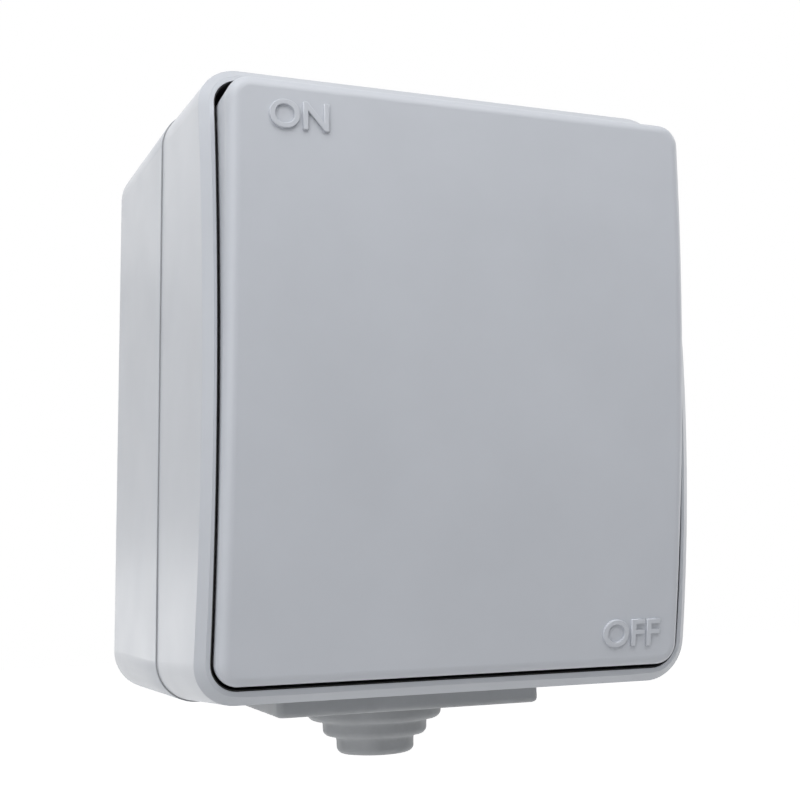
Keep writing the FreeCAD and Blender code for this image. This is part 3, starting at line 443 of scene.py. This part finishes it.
def spring_coil(finish):
    """Round-wire spring in the drive leg, put on the rocker's body in place of the CAD node's spring."""
    joints = {joint["name"]: joint for joint in frame["record"]["behaviour"]["joints"]}
    slide = joints["plunger_slide"]
    pivot = Vector(slide["pos_m"])
    along = Vector(slide["axis"]).normalized()
    across = Vector((1, 0, 0))
    upward = along.cross(across)
    curve = bpy.data.curves.new("spring_path", "CURVE")
    curve.dimensions = "3D"
    curve.bevel_depth = SPRING_WIRE / 2 * MM
    curve.bevel_resolution = WIRE_ROUNDNESS
    curve.use_fill_caps = True
    path = curve.splines.new("POLY")
    path.points.add(SPRING_TURNS * TURN_STEPS)
    for step, point in enumerate(path.points):
        turn = 2 * math.pi * step / TURN_STEPS
        drop = (SPRING_LENGTH - SPRING_WIRE) * step / (SPRING_TURNS * TURN_STEPS)
        height = SPRING_SEAT - SPRING_WIRE / 2 - drop
        round_axis = SPRING_RADIUS * (math.cos(turn) * across + math.sin(turn) * upward)
        point.co = (*(pivot + (height * along + round_axis) * MM), 1)
    mesh = mesh_from_curve(curve)
    mesh.materials.clear()
    mesh.materials.append(finish)
    mesh.shade_smooth()
    coil = add_object("spring_coil", mesh)
    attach(coil, "rocker")
    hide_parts("plunger_spring")
    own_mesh(coil)


# Relief marks on the rocker, lengths in millimetres

MARK_HEIGHT = 3.4
CAPITAL_SHARE = 0.72
MARK_RELIEF = 0.24
MARK_SINK = 0.10
MARK_ROUND = 0.10
MARK_ROUNDNESS = 2
MARK_MERGE = 0.002
UPPER_MARK = (-21.7, 30.85)
LOWER_MARK = (22.9, -31.2)


def rocker_face(x, z, lift):
    """Point over the rocker's crowned face: millimetres on and off the face in, metres in the frame out."""
    lean = math.asin(z / ROCKER_RADIUS)
    depth = ROCKER_APEX - ROCKER_RADIUS + (ROCKER_RADIUS + lift) * math.cos(lean)
    height = (ROCKER_RADIUS + lift) * math.sin(lean)
    turn = Matrix.Rotation(math.radians(ROCKER_TILT), 4, "X")
    return (turn @ Vector((x, -depth, height)) - Vector((0, PIVOT_DEPTH, 0))) * MM


def relief_mark(name, words, place, finish):
    """Raised letters that follow the rocker's crown."""
    curve = bpy.data.curves.new(name + "_outline", "FONT")
    curve.body = words
    curve.align_x = "CENTER"
    curve.align_y = "CENTER"
    curve.size = MARK_HEIGHT / CAPITAL_SHARE
    curve.extrude = (MARK_RELIEF + MARK_SINK) / 2
    curve.bevel_depth = MARK_ROUND
    curve.bevel_resolution = MARK_ROUNDNESS
    mesh = mesh_from_curve(curve)
    for vertex in mesh.vertices:
        lift = vertex.co.z + (MARK_RELIEF - MARK_SINK) / 2
        vertex.co = rocker_face(place[0] + vertex.co.x, place[1] + vertex.co.y, lift)
    face_outward(mesh, MARK_MERGE)
    mesh.materials.clear()
    mesh.materials.append(finish)
    mark = add_object(name, mesh)
    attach(mark, "rocker")


# Stage, light and camera

FLOOR_DROP = 0.30
FLOOR_SIZE = 6.0
FILL_LIGHT = 0.20
BACKDROP_LIGHT = 1.0

# Each lamp's name, place, width and height in metres, and power in watts
LAMPS = (
    ("top_softbox", (-0.05, -0.30, 0.42), 0.6, 0.4, 2.25),
    ("left_softbox", (-0.75, -0.30, 0.10), 0.7, 0.9, 1.15),
    ("left_front_softbox", (-0.60, -0.62, 0.10), 0.4, 0.6, 1.15),
    ("top_left_softbox", (-0.50, -0.12, 0.55), 0.4, 0.4, 0.66),
    ("upper_rear_softbox", (-0.30, 0.75, 0.42), 0.5, 0.4, 0.32),
    ("lower_rear_softbox", (-0.30, 0.75, -0.28), 0.5, 0.3, 0.14),
    ("rear_strip", (-0.33, 0.75, -0.09), 0.26, 0.10, 0.115),
    ("right_softbox", (0.75, 0.05, 0.20), 0.6, 0.6, 1.3),
    ("right_rear_softbox", (0.35, 0.80, 0.15), 0.5, 0.5, 1.0),
)
LAMP_TARGET = (0, -0.03, 0)

# Photograph's camera: its place and sensor in millimetres, its turns in radians, its clip range in metres
CAMERA_PLACE = (-53.83, -188.57, -19.01)
CAMERA_YAW = 0.337
CAMERA_PITCH = 0.118
CAMERA_ROLL = -0.013
FOCAL_PIXELS = 1143.2
PICTURE_PIXELS = 800
SENSOR = 36.0
CLIP_NEAR = 0.005
CLIP_FAR = 50


def make_floor():
    """Pale floor below the object."""
    mesh = bpy.data.meshes.new("floor")
    half = FLOOR_SIZE / 2
    level = CAD_BOX[0].z - FLOOR_DROP
    corners = [(-half, -half, level), (half, -half, level), (half, half, level), (-half, half, level)]
    mesh.from_pydata(corners, [], [(0, 1, 2, 3)])
    mesh.materials.append(floor_finish())
    floor = add_object("floor", mesh)


def make_world():
    """White behind the object, an even soft fill on it."""
    world = bpy.data.worlds.new("studio")
    bpy.context.scene.world = world
    world.use_nodes = True
    tree = world.node_tree
    tree.nodes.clear()
    output = tree.nodes.new("ShaderNodeOutputWorld")
    fill = tree.nodes.new("ShaderNodeBackground")
    fill.inputs["Color"].default_value = WHITE
    fill.inputs["Strength"].default_value = FILL_LIGHT
    backdrop = tree.nodes.new("ShaderNodeBackground")
    backdrop.inputs["Color"].default_value = WHITE
    backdrop.inputs["Strength"].default_value = BACKDROP_LIGHT
    path = tree.nodes.new("ShaderNodeLightPath")
    mixed = tree.nodes.new("ShaderNodeMixShader")
    seen = path.outputs["Is Camera Ray"]
    for kind in ("Is Glossy Ray", "Is Transmission Ray"):
        either = tree.nodes.new("ShaderNodeMath")
        either.operation = "MAXIMUM"
        tree.links.new(seen, either.inputs[0])
        tree.links.new(path.outputs[kind], either.inputs[1])
        seen = either.outputs[0]
    tree.links.new(seen, mixed.inputs[0])
    tree.links.new(fill.outputs[0], mixed.inputs[1])
    tree.links.new(backdrop.outputs[0], mixed.inputs[2])
    tree.links.new(mixed.outputs[0], output.inputs["Surface"])


def make_lights():
    """Rectangular lamps that look at the object."""
    for name, place, width, height, power in LAMPS:
        lamp = bpy.data.lights.new(name, "AREA")
        lamp.shape = "RECTANGLE"
        lamp.size = width
        lamp.size_y = height
        lamp.energy = power
        holder = add_object(name, lamp)
        holder.location = place
        holder.rotation_euler = (Vector(LAMP_TARGET) - Vector(place)).to_track_quat("-Z", "Y").to_euler()


def make_camera():
    """Camera that sees the object as the photograph does."""
    yaw, pitch, roll = CAMERA_YAW, CAMERA_PITCH, CAMERA_ROLL
    forward = Vector((math.sin(yaw) * math.cos(pitch), math.cos(yaw) * math.cos(pitch), math.sin(pitch)))
    level = Vector((math.cos(yaw), -math.sin(yaw), 0))
    upright = level.cross(forward)
    right = math.cos(roll) * level + math.sin(roll) * upright
    up = math.cos(roll) * upright - math.sin(roll) * level
    lens = bpy.data.cameras.new("camera")
    lens.sensor_width = SENSOR
    lens.lens = FOCAL_PIXELS / PICTURE_PIXELS * SENSOR
    lens.clip_start = CLIP_NEAR
    lens.clip_end = CLIP_FAR
    camera = add_object("camera", lens)
    turned = Matrix((right, up, -forward)).transposed().to_4x4()
    camera.matrix_world = Matrix.Translation(Vector(CAMERA_PLACE) * MM) @ turned
    bpy.context.scene.camera = camera


rocker_finish, black_rubber_and_shade, spring_finish = dress_nodes()
melt("cable_grommet")
soften("back_box")
# black sheet in the recess: painted deep shade in the gap round the rocker
recess_shade_sheet(black_rubber_and_shade)
# seam lip: partly the seal's edge, partly a painted shadow line in the seam
seam_lip_and_shadow(rubber("seam_seal_and_shadow", SEAM_SEAL_AND_SHADOW_GREY))
spring_coil(spring_finish)
relief_mark("upper_mark", "ON", UPPER_MARK, rocker_finish)
relief_mark("lower_mark", "OFF", LOWER_MARK, rocker_finish)
make_floor()
make_world()
make_lights()
make_camera()
bpy.context.scene.view_settings.view_transform = "Standard"
